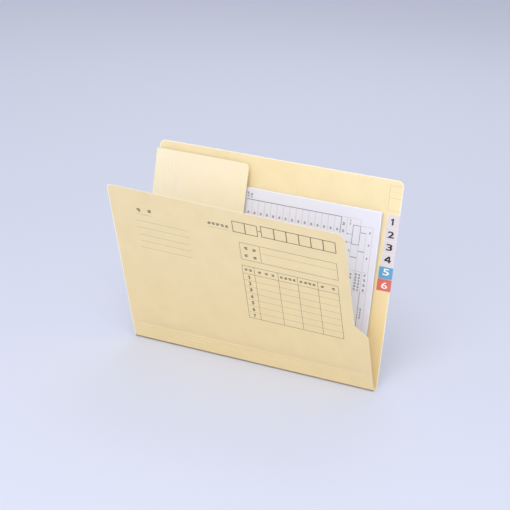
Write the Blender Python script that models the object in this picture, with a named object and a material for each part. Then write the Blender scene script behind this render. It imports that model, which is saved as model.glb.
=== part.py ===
# File folder for one set of A4 forms, standing open as a V on its flat bottom gusset.
# One card sheet is cut and folded into a back panel, a narrow spine strip and a shorter
# front cover. A pocket flap with its own gusset springs from the back panel's left edge
# and holds the forms. Numeral labels wrap round the index strip, which the cover leaves
# bare. Metres, +Z up, +X along the spine to the reader's right, +Y towards the back panel.
# The origin is the middle of the spine strip's underside.

import math

import bmesh
import bpy
from mathutils import Matrix

# Card
CARD_THICKNESS = 0.0005
FOLDER_WIDTH = 0.325
SPINE_WIDTH = 0.010
SPINE_GAP = 0.0003

# Back panel
BACK_HEIGHT = 0.249
BACK_CORNER_RADIUS = 0.007
BACK_LEAN = math.radians(9.8)

# Front cover, with an undercut right edge below which it is full width again
COVER_HEIGHT = 0.232
COVER_LEAN = math.radians(20.6)
COVER_UNDERCUT = 0.016
COVER_SHOULDER_BOTTOM = 0.0855
COVER_SHOULDER_TOP = 0.099
COVER_LEFT_RADIUS = 0.005
COVER_RIGHT_RADIUS = 0.010
COVER_SHOULDER_RADIUS = 0.004

# Pocket flap and its gusset
FLAP_WIDTH = 0.130
FLAP_BOTTOM = 0.016
FLAP_TOP = 0.239
FLAP_CORNER_RADIUS = 0.006
FLAP_DEPTH = 0.0075
FLAP_TILT = math.radians(2.0)
FOLD_GAP = 0.0003

# Score lines pressed into the card, so that the folder can be folded wider
SCORE_WIDTH = 0.0008
SCORE_DEPTH = 0.00015
SCORE_END_MARGIN = 0.003
PANEL_SCORE_PITCH = 0.005
PANEL_SCORE_COUNT = 5
FLAP_SCORE_START = 0.0145
FLAP_SCORE_PITCH = 0.0033
FLAP_SCORE_COUNT = 5

# Forms, lying sideways between the gusset and the labels: A4 at this folder's width
SHEET_COUNT = 3
SHEET_HEIGHT = 0.210
SHEET_THICKNESS = 0.0001
SHEET_GAP = 0.00085
SHEET_LEFT_MARGIN = 0.0085
SHEET_LABEL_MARGIN = 0.0025
SHEET_FOOT_CLEARANCE = 0.0002

# Numeral labels, each wrapped round the back panel's right edge
LABEL_COUNT = 6
LABEL_TALL_COUNT = 4
LABEL_REACH = 0.017
LABEL_TALL_HEIGHT = 0.0153
LABEL_SHORT_HEIGHT = 0.0142
LABEL_SPACING = 0.0003
LABEL_THICKNESS = 0.0001
LABEL_GAP = 0.0003
LABEL_STACK_TOP = 0.2084

# Colours
CARD_COLOUR = (0.83, 0.74, 0.47, 1.0)
FLAP_COLOUR = (0.93, 0.82, 0.57, 1.0)
PAPER_COLOUR = (0.86, 0.85, 0.88, 1.0)
WHITE_COLOUR = (0.88, 0.89, 0.91, 1.0)
BLUE_COLOUR = (0.10, 0.39, 0.70, 1.0)
RED_COLOUR = (0.72, 0.14, 0.11, 1.0)

ARC_STEPS = 5
HALF_CARD = CARD_THICKNESS / 2
LEFT_EDGE = -FOLDER_WIDTH / 2
RIGHT_EDGE = FOLDER_WIDTH / 2
FLAP_PLANE = CARD_THICKNESS + FLAP_DEPTH


def clear_scene():
    for obj in list(bpy.data.objects):
        bpy.data.objects.remove(obj)


def new_collection(name):
    collection = bpy.data.collections.new(name)
    bpy.context.scene.collection.children.link(collection)
    return collection


def new_material(name, colour, roughness):
    material = bpy.data.materials.new(name)
    material.use_nodes = True
    shader = material.node_tree.nodes["Principled BSDF"]
    shader.inputs["Base Color"].default_value = colour
    shader.inputs["Roughness"].default_value = roughness
    shader.inputs["Metallic"].default_value = 0.0
    return material


def round_corner(before, corner, after, radius):
    """Points of an arc that rounds the corner between two neighbouring outline points."""
    if radius <= 0:
        return [corner]
    to_before = math.atan2(before[1] - corner[1], before[0] - corner[0])
    to_after = math.atan2(after[1] - corner[1], after[0] - corner[0])
    turn = (to_after - to_before + math.pi) % (2 * math.pi) - math.pi
    reach = radius / math.tan(abs(turn) / 2)
    middle = to_before + turn / 2
    to_centre = radius / math.sin(abs(turn) / 2)
    centre_x = corner[0] + to_centre * math.cos(middle)
    centre_y = corner[1] + to_centre * math.sin(middle)
    start_x = corner[0] + reach * math.cos(to_before)
    start_y = corner[1] + reach * math.sin(to_before)
    start = math.atan2(start_y - centre_y, start_x - centre_x)
    sweep = -math.copysign(math.pi - abs(turn), turn)
    points = []
    for step in range(ARC_STEPS + 1):
        angle = start + sweep * step / ARC_STEPS
        x = centre_x + radius * math.cos(angle)
        y = centre_y + radius * math.sin(angle)
        points.append((x, y))
    return points


def rounded_outline(corners):
    """Outline points from a list of (x, y, radius) corners."""
    outline = []
    for index, (x, y, radius) in enumerate(corners):
        before = corners[index - 1]
        after = corners[(index + 1) % len(corners)]
        outline += round_corner(before, (x, y), after, radius)
    return outline


def extruded_mesh(name, outline, depth):
    """A closed mesh from a flat outline in X and Y, extruded evenly along Z."""
    curve = bpy.data.curves.new(name + "_outline", "CURVE")
    curve.dimensions = "2D"
    curve.fill_mode = "BOTH"
    curve.extrude = depth / 2
    spline = curve.splines.new("POLY")
    spline.points.add(len(outline) - 1)
    for point, (x, y) in zip(spline.points, outline):
        point.co = (x, y, 0, 1)
    spline.use_cyclic_u = True
    guide = bpy.data.objects.new(name + "_outline", curve)
    bpy.context.scene.collection.objects.link(guide)
    graph = bpy.context.evaluated_depsgraph_get()
    mesh = bpy.data.meshes.new_from_object(guide.evaluated_get(graph))
    bpy.data.objects.remove(guide)
    mesh.name = name
    shape = bmesh.new()
    shape.from_mesh(mesh)
    bmesh.ops.remove_doubles(shape, verts=shape.verts, dist=1e-6)
    bmesh.ops.recalc_face_normals(shape, faces=shape.faces)
    shape.to_mesh(mesh)
    shape.free()
    return mesh


def box_mesh(name, low, high):
    """A closed box between two corners."""
    size = [b - a for a, b in zip(low, high)]
    centre = [(a + b) / 2 for a, b in zip(low, high)]
    mesh = bpy.data.meshes.new(name)
    shape = bmesh.new()
    place = Matrix.Translation(centre) @ Matrix.Diagonal((*size, 1))
    bmesh.ops.create_cube(shape, size=1.0, matrix=place)
    shape.to_mesh(mesh)
    shape.free()
    return mesh


def add_part(name, mesh, material, parent):
    part = bpy.data.objects.new(name, mesh)
    part.data.materials.append(material)
    part.parent = parent
    FOLDER.objects.link(part)
    return part


def add_axis(name, location, rotation, parent=None):
    """An empty on a fold line, which carries the pieces that turn about it."""
    axis = bpy.data.objects.new(name, None)
    axis.empty_display_size = 0.02
    axis.location = location
    axis.rotation_euler = rotation
    axis.parent = parent
    FOLDER.objects.link(axis)
    return axis


def cut_scores(part, places, length, height, upright):
    """Press shallow V grooves into the face of a part at the given height above its middle."""
    for index, (x, y) in enumerate(places):
        name = f"{part.name}_score_{index + 1}"
        mesh = bpy.data.meshes.new(name)
        shape = bmesh.new()
        bmesh.ops.create_cone(
            shape,
            cap_ends=True,
            segments=4,
            radius1=SCORE_WIDTH / 2,
            radius2=SCORE_WIDTH / 2,
            depth=length,
        )
        flatten = Matrix.Diagonal((1, SCORE_DEPTH / (SCORE_WIDTH / 2), 1, 1))
        if upright:
            turn = Matrix.Rotation(math.radians(-90), 4, "X")
        else:
            turn = Matrix.Rotation(math.radians(90), 4, "Y")
            turn = turn @ Matrix.Rotation(math.radians(90), 4, "Z")
        place = Matrix.Translation((x, y, height))
        bmesh.ops.transform(shape, matrix=place @ turn @ flatten, verts=shape.verts)
        shape.to_mesh(mesh)
        shape.free()
        cutter = bpy.data.objects.new(name, mesh)
        cutter.parent = part
        cutter.hide_render = True
        cutter.display_type = "WIRE"
        CUTTERS.objects.link(cutter)
        groove = part.modifiers.new(name, "BOOLEAN")
        groove.operation = "DIFFERENCE"
        groove.object = cutter


def panel_score_places():
    """The middle of each score line that runs along the spine."""
    return [(0.0, PANEL_SCORE_PITCH * (step + 1)) for step in range(PANEL_SCORE_COUNT)]


def make_spine(card):
    half_width = SPINE_WIDTH / 2 - HALF_CARD - SPINE_GAP
    low = (LEFT_EDGE, -half_width, 0.0)
    high = (RIGHT_EDGE, half_width, CARD_THICKNESS)
    add_part("spine_strip", box_mesh("spine_strip", low, high), card, None)


def make_back_panel(card, axis):
    outline = rounded_outline(
        [
            (LEFT_EDGE, 0.0, 0.0),
            (RIGHT_EDGE, 0.0, 0.0),
            (RIGHT_EDGE, BACK_HEIGHT, BACK_CORNER_RADIUS),
            (LEFT_EDGE, BACK_HEIGHT, BACK_CORNER_RADIUS),
        ]
    )
    mesh = extruded_mesh("back_panel", outline, CARD_THICKNESS)
    panel = add_part("back_panel", mesh, card, axis)
    length = FOLDER_WIDTH - 2 * SCORE_END_MARGIN
    cut_scores(panel, panel_score_places(), length, -HALF_CARD, False)


def make_front_cover(card, axis):
    undercut_edge = RIGHT_EDGE - COVER_UNDERCUT
    outline = rounded_outline(
        [
            (LEFT_EDGE, 0.0, 0.0),
            (RIGHT_EDGE, 0.0, 0.0),
            (RIGHT_EDGE, COVER_SHOULDER_BOTTOM, COVER_SHOULDER_RADIUS),
            (undercut_edge, COVER_SHOULDER_TOP, COVER_SHOULDER_RADIUS),
            (undercut_edge, COVER_HEIGHT, COVER_RIGHT_RADIUS),
            (LEFT_EDGE, COVER_HEIGHT, COVER_LEFT_RADIUS),
        ]
    )
    mesh = extruded_mesh("front_cover", outline, CARD_THICKNESS)
    cover = add_part("front_cover", mesh, card, axis)
    length = FOLDER_WIDTH - 2 * SCORE_END_MARGIN
    cut_scores(cover, panel_score_places(), length, HALF_CARD, False)


def make_flap_gusset(card, axis):
    """The short side wall that holds the flap away from the back panel."""
    low = (LEFT_EDGE, FLAP_BOTTOM, HALF_CARD + FOLD_GAP)
    high = (LEFT_EDGE + CARD_THICKNESS, FLAP_TOP, FLAP_PLANE - HALF_CARD - FOLD_GAP)
    add_part("flap_gusset", box_mesh("flap_gusset", low, high), card, axis)


def make_pocket_flap(card, back_axis):
    fold = add_axis(
        "flap_fold",
        (LEFT_EDGE + HALF_CARD, 0.0, FLAP_PLANE),
        (0.0, -FLAP_TILT, 0.0),
        back_axis,
    )
    outline = rounded_outline(
        [
            (0.0, FLAP_BOTTOM, 0.0),
            (FLAP_WIDTH, FLAP_BOTTOM, FLAP_CORNER_RADIUS),
            (FLAP_WIDTH, FLAP_TOP, FLAP_CORNER_RADIUS),
            (0.0, FLAP_TOP, 0.0),
        ]
    )
    mesh = extruded_mesh("pocket_flap", outline, CARD_THICKNESS)
    flap = add_part("pocket_flap", mesh, card, fold)
    middle = (FLAP_BOTTOM + FLAP_TOP) / 2
    places = [
        (FLAP_SCORE_START + FLAP_SCORE_PITCH * step, middle)
        for step in range(FLAP_SCORE_COUNT)
    ]
    length = FLAP_TOP - FLAP_BOTTOM - 2 * SCORE_END_MARGIN
    cut_scores(flap, places, length, HALF_CARD, True)


def make_form_sheets(paper, axis):
    """A4 forms standing in the middle of the pocket, clear of the upright spine strip."""
    left = LEFT_EDGE + SHEET_LEFT_MARGIN
    right = RIGHT_EDGE - LABEL_REACH - SHEET_LABEL_MARGIN
    foot = CARD_THICKNESS - HALF_CARD + SHEET_FOOT_CLEARANCE
    pitch = SHEET_THICKNESS + SHEET_GAP
    stack = SHEET_COUNT * pitch - SHEET_GAP
    for index in range(SHEET_COUNT):
        near = (FLAP_PLANE - stack) / 2 + index * pitch
        low = (left, foot, near)
        high = (right, foot + SHEET_HEIGHT, near + SHEET_THICKNESS)
        name = f"form_sheet_{index + 1}"
        add_part(name, box_mesh(name, low, high), paper, axis)


def label_outline():
    """Section of a label that wraps round the panel's edge, in X and the panel's normal."""
    inner = HALF_CARD + LABEL_GAP
    outer = inner + LABEL_THICKNESS
    arm = RIGHT_EDGE - LABEL_REACH
    turns = 2 * ARC_STEPS
    angles = [math.pi * (step / turns - 0.5) for step in range(turns + 1)]
    outside = [
        (RIGHT_EDGE + outer * math.cos(angle), outer * math.sin(angle)) for angle in angles
    ]
    inside = [
        (RIGHT_EDGE + inner * math.cos(angle), inner * math.sin(angle))
        for angle in reversed(angles)
    ]
    return [(arm, -outer)] + outside + [(arm, outer), (arm, inner)] + inside + [(arm, -inner)]


def make_labels(materials, axis):
    """Labels run down the index strip: tall ones first, then one of each colour."""
    top = LABEL_STACK_TOP
    for index in range(LABEL_COUNT):
        tall = index < LABEL_TALL_COUNT
        height = LABEL_TALL_HEIGHT if tall else LABEL_SHORT_HEIGHT
        material = materials[0 if tall else 1 + index - LABEL_TALL_COUNT]
        name = f"numeral_label_{index + 1}"
        mesh = extruded_mesh(name, label_outline(), height)
        label = add_part(name, mesh, material, axis)
        label.location = (0.0, top - height / 2, 0.0)
        label.rotation_euler = (math.radians(90), 0.0, 0.0)
        top -= height + LABEL_SPACING


def build():
    card = new_material("manila_card", CARD_COLOUR, 0.8)
    flap_card = new_material("pale_manila_card", FLAP_COLOUR, 0.75)
    paper = new_material("form_paper", PAPER_COLOUR, 0.85)
    label_materials = [
        new_material("label_white", WHITE_COLOUR, 0.35),
        new_material("label_blue", BLUE_COLOUR, 0.35),
        new_material("label_red", RED_COLOUR, 0.35),
    ]
    back_turn = math.radians(90) - BACK_LEAN
    cover_turn = math.radians(90) + COVER_LEAN
    back_axis = add_axis("back_fold", (0.0, SPINE_WIDTH / 2, HALF_CARD), (back_turn, 0.0, 0.0))
    cover_axis = add_axis("cover_fold", (0.0, -SPINE_WIDTH / 2, HALF_CARD), (cover_turn, 0.0, 0.0))
    make_spine(card)
    make_back_panel(card, back_axis)
    make_front_cover(card, cover_axis)
    make_flap_gusset(flap_card, back_axis)
    make_pocket_flap(flap_card, back_axis)
    make_form_sheets(paper, back_axis)
    make_labels(label_materials, back_axis)


clear_scene()
FOLDER = new_collection("file_folder")
CUTTERS = new_collection("file_folder_cutters")
build()
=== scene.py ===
# %% [markdown]
# # A manila records folder
# The object is a file folder cut from one sheet of card. It stands open as a V on the
# narrow strip between its two lower folds. A pocket flap on the left holds printed forms,
# and numeral labels wrap round the index strip on the right.
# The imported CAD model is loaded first, as a fixed frame in metres. Each piece made here
# goes where a CAD solid already is, so nothing has to be fitted by eye.

# %% Load the frame
import math

import bmesh
import bpy
from mathutils import Matrix, Vector


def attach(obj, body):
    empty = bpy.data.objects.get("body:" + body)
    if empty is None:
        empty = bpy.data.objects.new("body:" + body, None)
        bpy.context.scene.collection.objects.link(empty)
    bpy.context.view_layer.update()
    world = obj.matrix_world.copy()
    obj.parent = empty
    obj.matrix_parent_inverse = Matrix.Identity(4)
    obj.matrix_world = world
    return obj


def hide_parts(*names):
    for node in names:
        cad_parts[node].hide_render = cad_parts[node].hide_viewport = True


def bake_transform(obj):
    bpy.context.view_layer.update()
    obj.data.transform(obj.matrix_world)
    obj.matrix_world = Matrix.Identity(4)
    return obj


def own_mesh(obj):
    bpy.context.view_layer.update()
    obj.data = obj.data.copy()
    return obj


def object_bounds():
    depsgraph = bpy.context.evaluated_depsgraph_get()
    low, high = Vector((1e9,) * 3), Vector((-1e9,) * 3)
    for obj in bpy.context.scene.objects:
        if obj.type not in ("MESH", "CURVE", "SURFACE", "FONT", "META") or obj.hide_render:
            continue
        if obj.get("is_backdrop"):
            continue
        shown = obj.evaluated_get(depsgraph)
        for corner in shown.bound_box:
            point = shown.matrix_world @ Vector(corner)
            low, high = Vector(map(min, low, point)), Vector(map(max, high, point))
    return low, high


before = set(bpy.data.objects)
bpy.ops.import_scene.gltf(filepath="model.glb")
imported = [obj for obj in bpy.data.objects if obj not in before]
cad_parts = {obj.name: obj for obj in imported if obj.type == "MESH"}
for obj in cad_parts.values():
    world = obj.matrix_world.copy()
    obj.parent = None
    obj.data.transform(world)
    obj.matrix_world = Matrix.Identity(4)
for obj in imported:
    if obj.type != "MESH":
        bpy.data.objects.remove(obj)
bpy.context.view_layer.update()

MM = 0.001

# %% [markdown]
# ## Measures of the folder
# A card folder is designed as a flat blank: a width, heights above the fold lines and the
# places of the creases. The same few numbers drive every curved piece below. The panels
# lean by the angles that they have in the CAD at rest.

# %% Measures
CARD = 0.5 * MM
HALF_CARD = CARD / 2
WIDTH = 325 * MM
LEFT = -WIDTH / 2
RIGHT = WIDTH / 2
HALF_SPINE = 5 * MM
FOLD_RADIUS = 1.8 * MM

BACK_LEAN = math.radians(9.8)
BACK_TWIST = math.radians(0.75)
BACK_HEIGHT = 249 * MM
COVER_LEAN = math.radians(20.6)
COVER_TWIST = math.radians(1.32)
COVER_HEIGHT = 232 * MM
UNDERCUT_EDGE = RIGHT - 16 * MM
SHOULDER_LOW = 85.5 * MM
SHOULDER_HIGH = 99 * MM

FLAP_WIDTH = 130 * MM
FLAP_LOW = 16 * MM
FLAP_HIGH = 239 * MM
FLAP_DEPTH = 8 * MM
FLAP_TILT = math.radians(2.0)
print("folder", WIDTH / MM, "mm wide, back", BACK_HEIGHT / MM, "mm, cover", COVER_HEIGHT / MM, "mm")

# %% [markdown]
# ## The camera
# The photograph was taken from the front, a little to the right and above, with a long
# lens. Azimuth, elevation, roll, distance and focal length come from the folder's own
# corners. The picture's middle lies just under the lens axis, which one small shift covers.

# %% Camera
CAMERA_AZIMUTH = math.radians(25.251)
CAMERA_ELEVATION = math.radians(18.642)
CAMERA_ROLL = math.radians(2.766)
CAMERA_DISTANCE = 1.8151
CAMERA_TARGET = Vector((-0.00405, 0.0, 0.15289))
PICTURE_PIXELS = 510
FOCAL_PIXELS = 1518.7
SHIFT_PIXELS = -12.5
SENSOR_MM = 36.0


def add_object(name, data):
    obj = bpy.data.objects.new(name, data)
    bpy.context.scene.collection.objects.link(obj)
    return obj


def make_camera():
    away = Vector(
        (
            math.sin(CAMERA_AZIMUTH) * math.cos(CAMERA_ELEVATION),
            -math.cos(CAMERA_AZIMUTH) * math.cos(CAMERA_ELEVATION),
            math.sin(CAMERA_ELEVATION),
        )
    )
    level = (-away).cross(Vector((0, 0, 1))).normalized()
    upright = level.cross(-away)
    across = math.cos(CAMERA_ROLL) * level + math.sin(CAMERA_ROLL) * upright
    up = -math.sin(CAMERA_ROLL) * level + math.cos(CAMERA_ROLL) * upright
    lens = bpy.data.cameras.new("photo_camera")
    lens.sensor_width = SENSOR_MM
    lens.lens = FOCAL_PIXELS / PICTURE_PIXELS * SENSOR_MM
    lens.shift_y = SHIFT_PIXELS / PICTURE_PIXELS
    lens.dof.use_dof = False
    camera = add_object("photo_camera", lens)
    turn = Matrix((across, up, away)).transposed().to_4x4()
    camera.matrix_world = Matrix.Translation(CAMERA_TARGET + away * CAMERA_DISTANCE) @ turn
    bpy.context.scene.camera = camera
    return camera


camera = make_camera()
print("lens", round(camera.data.lens, 1), "mm")

# %% [markdown]
# ## Floor and light
# The folder stands on a plain pale table. The floor could be lit until it turns white, but
# that would bleach the card too. Instead the floor answers camera and mirror rays with a
# pale glow of its own, mixed with its lit surface, so that the soft shadow stays.
# A broad lamp high in front, a low weaker fill, a faint lamp behind and an even sky give
# soft studio light.

# %% Node helpers
def set_inputs(tree, node, values):
    """Link or set a node's inputs; a value is a socket or a plain value."""
    for label, value in values.items():
        if isinstance(value, bpy.types.NodeSocket):
            tree.links.new(value, node.inputs[label])
        else:
            node.inputs[label].default_value = value


def add_node(tree, kind, values, **settings):
    """A new node with its settings and inputs; gives back its outputs."""
    node = tree.nodes.new(kind)
    for name, setting in settings.items():
        setattr(node, name, setting)
    set_inputs(tree, node, values)
    return node.outputs


def math_node(tree, operation, first, second=0.0, clamp=False):
    values = {0: first, 1: second}
    return add_node(tree, "ShaderNodeMath", values, operation=operation, use_clamp=clamp)[0]


print("helpers for nodes ready")

# %% Floor and world
FLOOR_COLOUR = (0.64, 0.68, 0.83, 1.0)
FLOOR_ROUGHNESS = 0.9
FLOOR_GLOW = 0.12
FLOOR_REACH = 6.0
FLOOR_DROP = 0.2 * MM
SKY_COLOUR = (0.95, 0.96, 1.0, 1.0)
SKY_STRENGTH = 0.62
PICTURE_SKY = (0.74, 0.76, 0.85, 1.0)


def seen_directly(tree):
    """A mask that is 1 for camera, glossy and transmission rays."""
    rays = add_node(tree, "ShaderNodeLightPath", {})
    mask = math_node(tree, "MAXIMUM", rays["Is Camera Ray"], rays["Is Glossy Ray"])
    return math_node(tree, "MAXIMUM", mask, rays["Is Transmission Ray"])


def show_picture_sky(tree, kind, share, lit, end):
    """Mix the pale picture colour over a lit shader, by a mask."""
    pale = add_node(tree, kind, {"Color": PICTURE_SKY, "Strength": 1.0})[0]
    mixed = add_node(tree, "ShaderNodeMixShader", {0: share, 1: lit.outputs[0], 2: pale})[0]
    tree.links.new(mixed, end)


def make_floor():
    mesh = bpy.data.meshes.new("studio_floor")
    corners = [(FLOOR_REACH * a, FLOOR_REACH * b, 0) for a, b in ((-1, -1), (1, -1), (1, 1), (-1, 1))]
    mesh.from_pydata(corners, [], [(0, 1, 2, 3)])
    floor = add_object("studio_floor", mesh)
    floor.location.z = -FLOOR_DROP
    material = bpy.data.materials.new("studio_floor")
    material.use_nodes = True
    tree = material.node_tree
    shader = tree.nodes["Principled BSDF"]
    set_inputs(tree, shader, {"Base Color": FLOOR_COLOUR, "Roughness": FLOOR_ROUGHNESS})
    share = math_node(tree, "MULTIPLY", seen_directly(tree), FLOOR_GLOW)
    end = tree.nodes["Material Output"].inputs["Surface"]
    show_picture_sky(tree, "ShaderNodeEmission", share, shader, end)
    mesh.materials.append(material)
    floor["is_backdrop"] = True


def make_world():
    world = bpy.data.worlds.new("soft_sky")
    world.use_nodes = True
    tree = world.node_tree
    light = tree.nodes["Background"]
    set_inputs(tree, light, {"Color": SKY_COLOUR, "Strength": SKY_STRENGTH})
    end = tree.nodes["World Output"].inputs["Surface"]
    show_picture_sky(tree, "ShaderNodeBackground", seen_directly(tree), light, end)
    bpy.context.scene.world = world


make_floor()
make_world()
bpy.context.scene.view_settings.view_transform = "Standard"
print("floor", 2 * FLOOR_REACH, "m wide, sky at strength", SKY_STRENGTH)

# %% Lamps
LAMP_AIM = Vector((0, 0, 0.12))
LAMPS = {
    "key_lamp": {"place": (0.4, -1.25, 1.85), "size": 1.7, "watts": 24.0, "colour": (1.0, 0.99, 0.97)},
    "fill_lamp": {"place": (0.45, -2.5, 0.85), "size": 1.8, "watts": 15.0, "colour": (1.0, 0.98, 0.955)},
    "back_lamp": {"place": (-0.5, 1.5, 1.6), "size": 1.6, "watts": 7.5, "colour": (1.0, 0.97, 0.93)},
}


def make_lamp(name, place, size, watts, colour):
    lamp = bpy.data.lights.new(name, "AREA")
    lamp.shape = "DISK"
    lamp.size = size
    lamp.energy = watts
    lamp.color = colour
    obj = add_object(name, lamp)
    obj.location = place
    obj.rotation_euler = (LAMP_AIM - Vector(place)).to_track_quat("-Z", "Y").to_euler()


for name, values in LAMPS.items():
    make_lamp(name, **values)
print("lamps:", ", ".join(LAMPS))

# %% [markdown]
# ## Node groups: what paper does
# Card, form paper and label film share a few effects: pulp fibres and cloudy colour, pale
# cut edges that are partly wear and partly a painted highlight, and ink that sits unevenly.
# Each effect is one node group with named inputs, built once and then placed in each
# material with its own values.
# The materials hand them two attributes that the meshes carry: flat_place, the point's place
# on the flat blank in metres, and cut_edge, which is 1 on the blank's palest cut outline.

# %% Group helpers
VECTOR = "NodeSocketVector"
COLOUR = "NodeSocketColor"
VALUE = "NodeSocketFloat"


def new_group(name, colours, values, outputs):
    """A node group that is given a place, colours and values; gives back its two ends too."""
    group = bpy.data.node_groups.new(name, "ShaderNodeTree")
    group.interface.new_socket("Place", in_out="INPUT", socket_type=VECTOR)
    for kind, defaults in ((COLOUR, colours), (VALUE, values)):
        for label, default in defaults.items():
            socket = group.interface.new_socket(label, in_out="INPUT", socket_type=kind)
            socket.default_value = default
    for label, kind in outputs.items():
        group.interface.new_socket(label, in_out="OUTPUT", socket_type=kind)
    source = group.nodes.new("NodeGroupInput")
    return group, source.outputs, group.nodes.new("NodeGroupOutput")


def noise_node(tree, vector, scale, detail, roughness):
    values = {"Vector": vector, "Scale": scale, "Detail": detail, "Roughness": roughness}
    return add_node(tree, "ShaderNodeTexNoise", values)["Fac"]


def range_node(tree, value, low, high, to_low=0.0, to_high=1.0):
    """Map low..high smoothly to another range, clamped at both ends."""
    values = {"Value": value, "From Min": low, "From Max": high, "To Min": to_low, "To Max": to_high}
    return add_node(tree, "ShaderNodeMapRange", values, interpolation_type="SMOOTHSTEP")["Result"]


def mix_colour(tree, share, first, second):
    values = {"Factor": share, "A": first, "B": second}
    return add_node(tree, "ShaderNodeMix", values, data_type="RGBA")["Result"]


def stretch_node(tree, vector, scale):
    return add_node(tree, "ShaderNodeMapping", {"Vector": vector, "Scale": scale})["Vector"]


print("helpers for node groups ready")

# %% [markdown]
# ### Pulp
# Manila card is made of long fibres that settle in cloudy patches, with a few darker specks
# left in it. A flat colour would look like plastic. Cloud, fibre and speck noises of
# different sizes are laid over one another, and the finest also gives the height.

# %% Pulp group
CLOUD_SCALE = 38.0
FIBRES_LYING = (900.0, 3800.0, 900.0)
FIBRES_CROSSING = (2900.0, 1000.0, 900.0)
SPECK_SCALE = 620.0
ROUGH_SHIFT = 0.06


def make_pulp_group():
    colours = {
        "Colour": (0.8, 0.7, 0.5, 1.0),
        "Shade": (0.7, 0.55, 0.35, 1.0),
        "Speck": (0.35, 0.24, 0.14, 1.0),
    }
    values = {"Cloud": 0.3, "Fibre": 0.3, "Specks": 0.5, "Roughness": 0.8}
    outputs = {"Colour": COLOUR, "Roughness": VALUE, "Height": VALUE}
    group, given, end = new_group("pulp", colours, values, outputs)
    place = given["Place"]
    clouds = range_node(group, noise_node(group, place, CLOUD_SCALE, 3.0, 0.55), 0.3, 0.7)
    lying = noise_node(group, stretch_node(group, place, FIBRES_LYING), 1.0, 3.0, 0.6)
    crossing = noise_node(group, stretch_node(group, place, FIBRES_CROSSING), 1.0, 3.0, 0.6)
    fibres = math_node(group, "MULTIPLY", math_node(group, "ADD", lying, crossing), 0.5)
    fibrous = range_node(group, fibres, 0.38, 0.62)
    specks = range_node(group, noise_node(group, place, SPECK_SCALE, 1.0, 0.4), 0.735, 0.79)
    cloud_mask = math_node(group, "MULTIPLY", clouds, given["Cloud"])
    fibre_mask = math_node(group, "MULTIPLY", fibrous, given["Fibre"])
    speck_mask = math_node(group, "MULTIPLY", specks, given["Specks"])
    clouded = mix_colour(group, cloud_mask, given["Colour"], given["Shade"])
    fibred = mix_colour(group, fibre_mask, clouded, given["Shade"])
    specked = mix_colour(group, speck_mask, fibred, given["Speck"])
    rough_shift = range_node(group, fibres, 0.35, 0.65, -ROUGH_SHIFT, ROUGH_SHIFT)
    roughness = math_node(group, "ADD", given["Roughness"], rough_shift)
    set_inputs(group, end, {"Colour": specked, "Roughness": roughness, "Height": fibres})
    return group


pulp_group = make_pulp_group()
print("group", pulp_group.name, "with", len(pulp_group.nodes), "nodes")

# %% [markdown]
# ### Cut edges
# Where a blank is die-cut, its outline is paler: the core shows and handling lifts fibres.
# The pale band is also a painted highlight, the bright line that light draws along a cut
# edge. Some edges are paler than others, partly from handling and partly as painted
# highlight. The mask could be painted by hand, but the outline is known exactly, so the
# mesh stores how near each point is to it, times how pale that stretch is, and a noise
# frays the band.

# %% Cut edge group
FRAY_SCALE = 420.0
FRAY_LEAST = 0.55
FULL_BAND = 0.4


def make_edge_group():
    colours = {"Colour": (0.8, 0.7, 0.5, 1.0), "Pale": (1.0, 1.0, 0.95, 1.0)}
    values = {"Edge": 0.0, "Amount": 0.7}
    group, given, end = new_group("cut_edge", colours, values, {"Colour": COLOUR, "Mask": VALUE})
    noise = noise_node(group, given["Place"], FRAY_SCALE, 3.0, 0.6)
    fray = range_node(group, noise, 0.3, 0.7, FRAY_LEAST, 1.0)
    # the pale band is partly edge wear and partly a painted highlight along the cut edge
    band = range_node(group, given["Edge"], 0.0, FULL_BAND)
    frayed = math_node(group, "MULTIPLY", band, fray)
    mask = math_node(group, "MULTIPLY", frayed, given["Amount"], True)
    colour = mix_colour(group, mask, given["Colour"], given["Pale"])
    set_inputs(group, end, {"Colour": colour, "Mask": mask})
    return group


edge_group = make_edge_group()
print("group", edge_group.name, "with", len(edge_group.nodes), "nodes")

# %% [markdown]
# ### Ink
# Offset ink takes a little of the paper's grain: dense in most places, thinner where a
# fibre stands proud. One group serves the dark form lines, the faint rules and the
# numerals, each with its own ink colour.

# %% Ink group
INK_GRAIN_SCALE = 1500.0


def make_ink_group():
    colours = {"Ink": (0.05, 0.04, 0.04, 1.0), "Under": (0.8, 0.7, 0.5, 1.0)}
    outputs = {"Colour": COLOUR, "Roughness": VALUE}
    group, given, end = new_group("ink_cover", colours, {"Thin": 0.2}, outputs)
    grain = noise_node(group, given["Place"], INK_GRAIN_SCALE, 2.0, 0.6)
    gaps = math_node(group, "MULTIPLY", range_node(group, grain, 0.4, 0.75), given["Thin"])
    colour = mix_colour(group, gaps, given["Ink"], given["Under"])
    roughness = range_node(group, grain, 0.3, 0.7, 0.45, 0.6)
    set_inputs(group, end, {"Colour": colour, "Roughness": roughness})
    return group


ink_group = make_ink_group()
print("group", ink_group.name, "with", len(ink_group.nodes), "nodes")

# %% [markdown]
# ## Materials
# The shader itself stays in each material, with its fixed values set on its own sockets.
# Card, paper and label film share one surface of pulp, pale edges and fine relief. Manila
# also gets a painted shade towards its fold, more on the inside: a deeper, warmer colour
# that stands in for the shade and bounce light inside the V. A narrow dark line along the
# outside of the fold is a painted contact shadow. The flap is card of a paler kind.

# %% Material helpers
RELIEF_DEPTH = 0.1 * MM
FILM_RELIEF_DEPTH = 0.05 * MM


def bare_material(name):
    material = bpy.data.materials.new(name)
    material.use_nodes = True
    return material, material.node_tree, material.node_tree.nodes["Principled BSDF"]


def attribute_node(tree, name, output):
    return add_node(tree, "ShaderNodeAttribute", {}, attribute_name=name)[output]


def place_group(tree, group, values):
    return add_node(tree, "ShaderNodeGroup", values, node_tree=group)


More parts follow.
